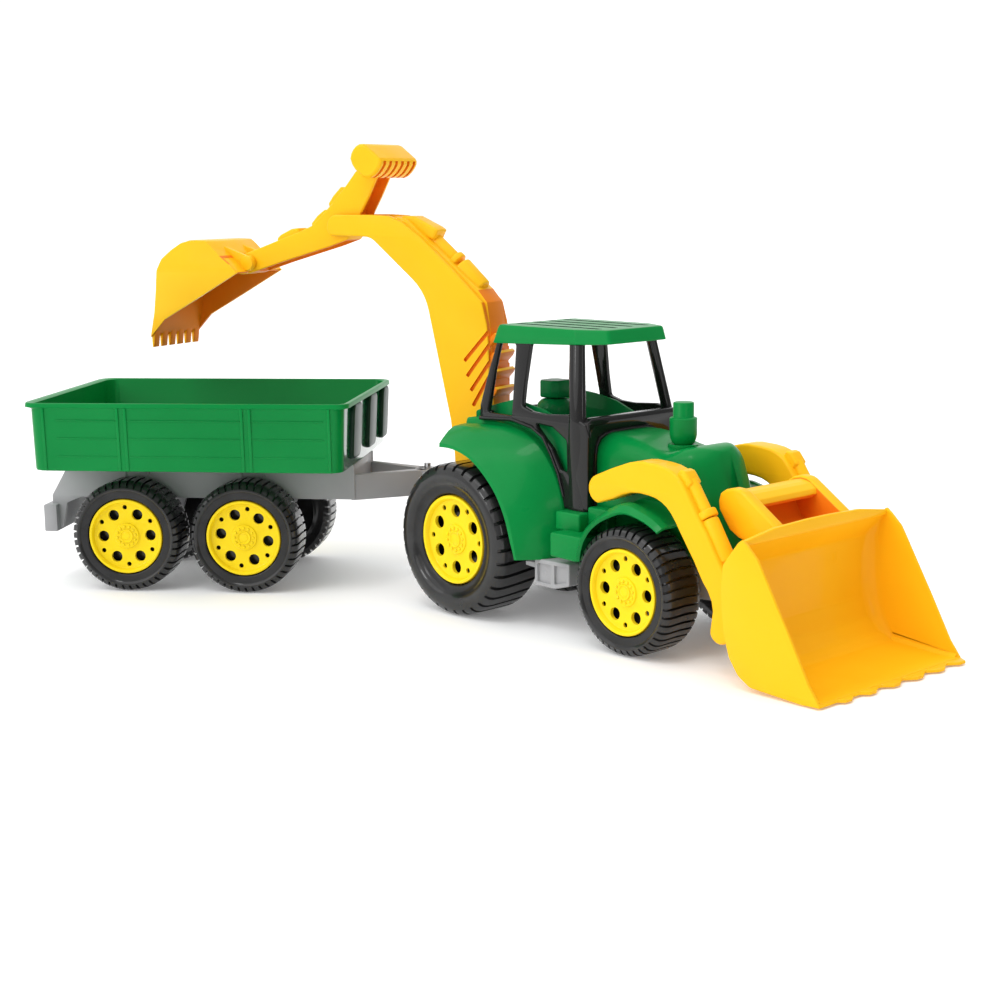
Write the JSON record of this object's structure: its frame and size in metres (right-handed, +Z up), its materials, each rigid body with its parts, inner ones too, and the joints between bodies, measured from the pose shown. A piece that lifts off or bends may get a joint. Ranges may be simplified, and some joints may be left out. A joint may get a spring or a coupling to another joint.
{
  "type": "toy tractor with loader, digger and trailer",
  "caption": "Plastic toy farm tractor with a lifting front loader bucket, a swinging rear digger arm with hand grip, rolling wheels and a hitched open-top tandem trailer.",
  "frame": {"origin": "on the floor under the middle of the whole set, as parked", "axes": "+X to the front of the tractor, +Y to its left, +Z up"},
  "size_m": [1.0052, 0.4568, 0.4695],
  "materials": {
    "green_plastic": "glossy",
    "yellow_plastic": "glossy",
    "lemon_rim_plastic": "glossy",
    "black_cab_plastic": "satin",
    "tyre_plastic": "satin",
    "grey_plastic": "satin",
    "steel_rod": "drawn rod"
  },
  "bodies": {
    "tractor": {"chassis": "grey_plastic", "body_shell": "green_plastic", "cab_frame": "black_cab_plastic", "cab_roof": "green_plastic", "driver_seat": "green_plastic", "exhaust_stack": "green_plastic", "rear_axle": "steel_rod", "front_axle": "steel_rod", "loader_pivot_pin_right": "steel_rod", "loader_pivot_pin_left": "steel_rod", "digger_base": "grey_plastic", "swing_pin": "steel_rod", "hitch_pin": "steel_rod"},
    "loader_arms": {"loader_arm_right": "yellow_plastic", "loader_arm_left": "yellow_plastic", "bucket_pin_right": "steel_rod", "bucket_pin_left": "steel_rod"},
    "loader_bucket": {"loader_bucket": "yellow_plastic"},
    "boom": {"boom": "yellow_plastic", "dipper_pin": "steel_rod"},
    "dipper": {"dipper": "yellow_plastic", "scoop_pin": "steel_rod"},
    "digger_scoop": {"digger_scoop": "yellow_plastic"},
    "trailer": {"trailer_frame": "grey_plastic", "trailer_bed": "green_plastic", "trailer_rear_axle": "steel_rod", "trailer_front_axle": "steel_rod"},
    "rear_wheel_right": {"rear_tyre_right": "tyre_plastic", "rear_rim_right": "lemon_rim_plastic"},
    "rear_wheel_left": {"rear_tyre_left": "tyre_plastic", "rear_rim_left": "lemon_rim_plastic"},
    "front_wheel_right": {"front_tyre_right": "tyre_plastic", "front_rim_right": "lemon_rim_plastic"},
    "front_wheel_left": {"front_tyre_left": "tyre_plastic", "front_rim_left": "lemon_rim_plastic"},
    "trailer_rear_wheel_right": {"trailer_rear_tyre_right": "tyre_plastic", "trailer_rear_rim_right": "lemon_rim_plastic"},
    "trailer_rear_wheel_left": {"trailer_rear_tyre_left": "tyre_plastic", "trailer_rear_rim_left": "lemon_rim_plastic"},
    "trailer_front_wheel_right": {"trailer_front_tyre_right": "tyre_plastic", "trailer_front_rim_right": "lemon_rim_plastic"},
    "trailer_front_wheel_left": {"trailer_front_tyre_left": "tyre_plastic", "trailer_front_rim_left": "lemon_rim_plastic"}
  },
  "joints": [
    {"name": "rear_wheel_right_spin", "type": "hinge", "parent": "tractor", "child": "rear_wheel_right", "pos_m": [0.0366, 0.05143, 0.0775], "axis": [0, 1, 0], "continuous": true},
    {"name": "rear_wheel_left_spin", "type": "hinge", "parent": "tractor", "child": "rear_wheel_left", "pos_m": [0.0366, 0.19343, 0.0775], "axis": [0, 1, 0], "continuous": true},
    {"name": "front_wheel_right_spin", "type": "hinge", "parent": "tractor", "child": "front_wheel_right", "pos_m": [0.2654, 0.04743, 0.06], "axis": [0, 1, 0], "continuous": true},
    {"name": "front_wheel_left_spin", "type": "hinge", "parent": "tractor", "child": "front_wheel_left", "pos_m": [0.2654, 0.19743, 0.06], "axis": [0, 1, 0], "continuous": true},
    {"name": "trailer_rear_wheel_right_spin", "type": "hinge", "parent": "trailer", "child": "trailer_rear_wheel_right", "pos_m": [-0.30774, -0.13804, 0.06], "axis": [-0.6401, 0.7683, 0], "continuous": true},
    {"name": "trailer_rear_wheel_left_spin", "type": "hinge", "parent": "trailer", "child": "trailer_rear_wheel_left", "pos_m": [-0.40631, -0.01973, 0.06], "axis": [-0.6401, 0.7683, 0], "continuous": true},
    {"name": "trailer_front_wheel_right_spin", "type": "hinge", "parent": "trailer", "child": "trailer_front_wheel_right", "pos_m": [-0.20786, -0.05483, 0.06], "axis": [-0.6401, 0.7683, 0], "continuous": true},
    {"name": "trailer_front_wheel_left_spin", "type": "hinge", "parent": "trailer", "child": "trailer_front_wheel_left", "pos_m": [-0.30644, 0.06349, 0.06], "axis": [-0.6401, 0.7683, 0], "continuous": true},
    {"name": "loader_lift", "type": "hinge", "parent": "tractor", "child": "loader_arms", "pos_m": [0.2276, 0.12243, 0.1505], "axis": [0, -1, 0], "range_deg": [0, 40]},
    {"name": "bucket_tilt", "type": "hinge", "parent": "loader_arms", "child": "loader_bucket", "pos_m": [0.3726, 0.12243, 0.052], "axis": [0, -1, 0], "range_deg": [-40, 4]},
    {"name": "digger_swing", "type": "hinge", "parent": "tractor", "child": "boom", "pos_m": [-0.0134, 0.12243, 0.124], "axis": [0, 0, 1], "range_deg": [-85, 49]},
    {"name": "dipper_lift", "type": "hinge", "parent": "boom", "child": "dipper", "pos_m": [-0.17793, 0.06897, 0.386], "axis": [-0.309, 0.9511, 0], "range_deg": [-5, 25]},
    {"name": "scoop_curl", "type": "hinge", "parent": "dipper", "child": "digger_scoop", "pos_m": [-0.29396, 0.03127, 0.346], "axis": [-0.309, 0.9511, 0], "range_deg": [-12, 45]},
    {"name": "hitch_turn", "type": "hinge", "parent": "tractor", "child": "trailer", "pos_m": [-0.1154, 0.12243, 0.1], "axis": [0, 0, 1], "range_deg": [-104.8, 25.2]}
  ]
}
